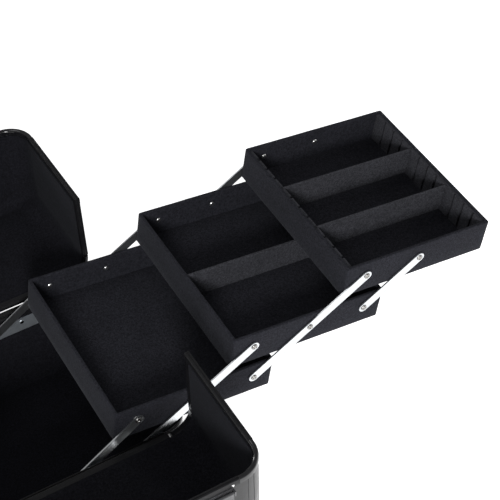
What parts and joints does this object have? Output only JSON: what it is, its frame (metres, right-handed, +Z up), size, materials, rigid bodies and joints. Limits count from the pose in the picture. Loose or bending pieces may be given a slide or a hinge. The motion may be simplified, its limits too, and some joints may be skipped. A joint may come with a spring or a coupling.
{
  "type": "makeup train case",
  "caption": "Black makeup train case with two half lids opened out and three trays swung out on flat metal links.",
  "frame": {"origin": "centre of the underside of the case's base pad", "axes": "+Z up, +X the way the trays swing out, -Y the side of the lid that carries the handle and latches"},
  "size_m": [0.859, 0.7524, 0.3415],
  "materials": {
    "shell_black": "glossy",
    "rim_black": "satin",
    "lining": "matte",
    "tray_felt": "matte",
    "link_metal": "satin",
    "rivet_metal": "polished",
    "rail_metal": "satin",
    "washer": "matte",
    "pad_rubber": "matte",
    "latch_metal": "satin",
    "handle_grip": "matte"
  },
  "bodies": {
    "case": {"base_pad": "pad_rubber", "body_shell": "shell_black", "body_lining": "lining", "body_rim": "rim_black", "body_rim_corners": "rim_black", "body_rim_rivets": "rivet_metal", "body_hinge_leaves": "rail_metal", "hinge_pins": "rail_metal", "hinge_strips": "rim_black", "pivot_rail_near": "rail_metal", "pivot_rail_far": "rail_metal", "rail_rivets": "rivet_metal", "base_pivots": "rivet_metal"},
    "near_lid": {"near_lid_shell": "shell_black", "near_lid_lining": "lining", "near_lid_rim": "rim_black", "near_lid_rim_corners": "rim_black", "near_lid_rivets": "rivet_metal", "near_lid_hinge_leaves": "rail_metal", "latch_plates": "latch_metal", "latch_pins": "rivet_metal", "handle_brackets": "latch_metal"},
    "far_lid": {"far_lid_shell": "shell_black", "far_lid_lining": "lining", "far_lid_rim": "rim_black", "far_lid_rim_corners": "rim_black", "far_lid_rivets": "rivet_metal", "far_lid_hinge_leaves": "rail_metal", "latch_keepers": "latch_metal"},
    "left_latch": {"latch_lever_left": "latch_metal"},
    "right_latch": {"latch_lever_right": "latch_metal"},
    "handle": {"carry_handle": "handle_grip"},
    "long_links_1": {"long_link_1_near": "link_metal", "long_link_1_far": "link_metal"},
    "tray_1": {"tray_1_walls": "tray_felt", "tray_1_floor": "tray_felt", "tray_1_rivets": "rivet_metal", "tray_1_washers": "washer"},
    "long_links_2": {"long_link_2_near": "link_metal", "long_link_2_far": "link_metal"},
    "tray_2": {"tray_2_walls": "tray_felt", "tray_2_floor": "tray_felt", "tray_2_rivets": "rivet_metal", "tray_2_washers": "washer", "tray_2_divider": "tray_felt"},
    "short_links_2": {"short_link_2_near": "link_metal", "short_link_2_far": "link_metal"},
    "tray_3": {"tray_3_walls": "tray_felt", "tray_3_floor": "tray_felt", "tray_3_rivets": "rivet_metal", "tray_3_washers": "washer", "tray_3_slot_combs": "tray_felt"},
    "short_links_1": {"short_link_1_near": "link_metal", "short_link_1_far": "link_metal"},
    "divider_1": {"tray_3_divider_1": "tray_felt"},
    "divider_2": {"tray_3_divider_2": "tray_felt"}
  },
  "joints": [
    {"name": "trays_swing", "type": "hinge", "parent": "case", "child": "long_links_1", "pos_m": [0.09742, 0, 0.1521], "axis": [0, -1, 0], "range_deg": [0, 118.15]},
    {"name": "short_links_1_pivot", "type": "hinge", "parent": "case", "child": "short_links_1", "pos_m": [0.01173, 0, 0.15736], "axis": [0, -1, 0], "range_deg": [0, 117.41]},
    {"name": "tray_1_pivot", "type": "hinge", "parent": "long_links_1", "child": "tray_1", "pos_m": [0.19343, 0, 0.20979], "axis": [0, -1, 0], "range_deg": [-110.16, 0]},
    {"name": "long_links_2_pivot", "type": "hinge", "parent": "tray_1", "child": "long_links_2", "pos_m": [0.28354, 0, 0.19712], "axis": [0, -1, 0], "range_deg": [0, 110.16]},
    {"name": "tray_2_pivot", "type": "hinge", "parent": "long_links_2", "child": "tray_2", "pos_m": [0.3744, 0, 0.25172], "axis": [0, -1, 0], "range_deg": [-110.16, 0]},
    {"name": "short_links_2_pivot", "type": "hinge", "parent": "tray_2", "child": "short_links_2", "pos_m": [0.46452, 0, 0.23905], "axis": [0, -1, 0], "range_deg": [0, 110.16]},
    {"name": "tray_3_pivot", "type": "hinge", "parent": "long_links_2", "child": "tray_3", "pos_m": [0.46526, 0, 0.30631], "axis": [0, -1, 0], "range_deg": [-110.16, 0]},
    {"name": "near_lid_hinge", "type": "hinge", "parent": "case", "child": "near_lid", "pos_m": [0, -0.158, 0.1782], "axis": [-1, 0, 0], "range_deg": [0, 12]},
    {"name": "far_lid_hinge", "type": "hinge", "parent": "case", "child": "far_lid", "pos_m": [0, 0.158, 0.1782], "axis": [1, 0, 0], "range_deg": [0, 17]},
    {"name": "left_latch_hinge", "type": "hinge", "parent": "near_lid", "child": "left_latch", "pos_m": [-0.107, -0.36438, 0.32502], "axis": [-1, 0, 0], "range_deg": [0, 170]},
    {"name": "right_latch_hinge", "type": "hinge", "parent": "near_lid", "child": "right_latch", "pos_m": [0.107, -0.36438, 0.32502], "axis": [-1, 0, 0], "range_deg": [0, 170]},
    {"name": "handle_hinge", "type": "hinge", "parent": "near_lid", "child": "handle", "pos_m": [0, -0.36748, 0.3001], "axis": [-1, 0, 0], "range_deg": [0, 90]},
    {"name": "divider_1_lift", "type": "slide", "parent": "tray_3", "child": "divider_1", "axis": [0.1392, 0, 0.9903], "range_m": [0, 0.06]},
    {"name": "divider_2_lift", "type": "slide", "parent": "tray_3", "child": "divider_2", "axis": [0.1392, 0, 0.9903], "range_m": [0, 0.06]}
  ],
  "couplings": [
    {"joint": "short_links_1_pivot", "follows": "trays_swing", "ratio": 0.9937},
    {"joint": "tray_1_pivot", "follows": "trays_swing", "ratio": -0.93229},
    {"joint": "long_links_2_pivot", "follows": "trays_swing", "ratio": 0.93229},
    {"joint": "tray_2_pivot", "follows": "trays_swing", "ratio": -0.93229},
    {"joint": "short_links_2_pivot", "follows": "trays_swing", "ratio": 0.93229},
    {"joint": "tray_3_pivot", "follows": "trays_swing", "ratio": -0.93229}
  ]
}
